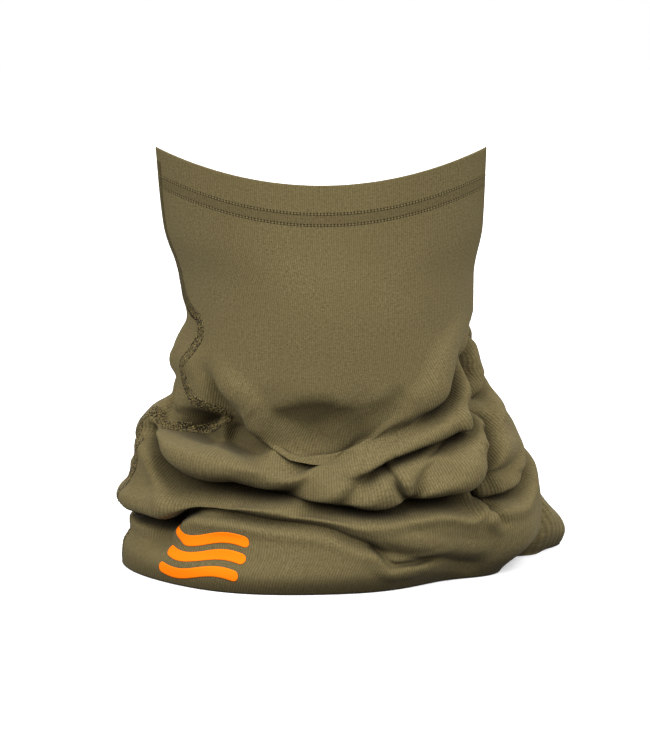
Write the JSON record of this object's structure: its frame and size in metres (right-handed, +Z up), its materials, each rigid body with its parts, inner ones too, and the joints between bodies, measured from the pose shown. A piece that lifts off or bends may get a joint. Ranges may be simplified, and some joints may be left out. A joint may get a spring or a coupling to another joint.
{
  "type": "neck gaiter",
  "caption": "Stretch neck gaiter: a jersey tube with a flatlock side seam and cover-stitched hems, standing with its lower half slouched in folds.",
  "frame": {"origin": "on the floor, under the centre of the outer box", "axes": "+Z up from the floor to the rim, +X across the width towards the side without a seam, -Y out of the printed front"},
  "size_m": [0.2746, 0.1674, 0.25],
  "materials": {
    "jersey": "olive fine-gauge jersey, matt with a slight haze of fibres",
    "sewing_thread": "olive sewing thread with a soft sheen",
    "print": "matt orange heat-transfer film"
  },
  "bodies": {
    "root": {"jersey_tube": "jersey", "side_seam_cover_thread": "sewing_thread", "side_seam_needle_thread_back": "sewing_thread", "side_seam_needle_thread_front": "sewing_thread", "side_seam_looper_thread": "sewing_thread", "top_hem_needle_thread_upper": "sewing_thread", "top_hem_needle_thread_lower": "sewing_thread", "top_hem_looper_thread": "sewing_thread", "bottom_hem_needle_thread_outer": "sewing_thread", "bottom_hem_needle_thread_inner": "sewing_thread", "bottom_hem_looper_thread": "sewing_thread", "print_wave_upper": "print", "print_wave_middle": "print", "print_wave_lower": "print"}
  },
  "joints": []
}
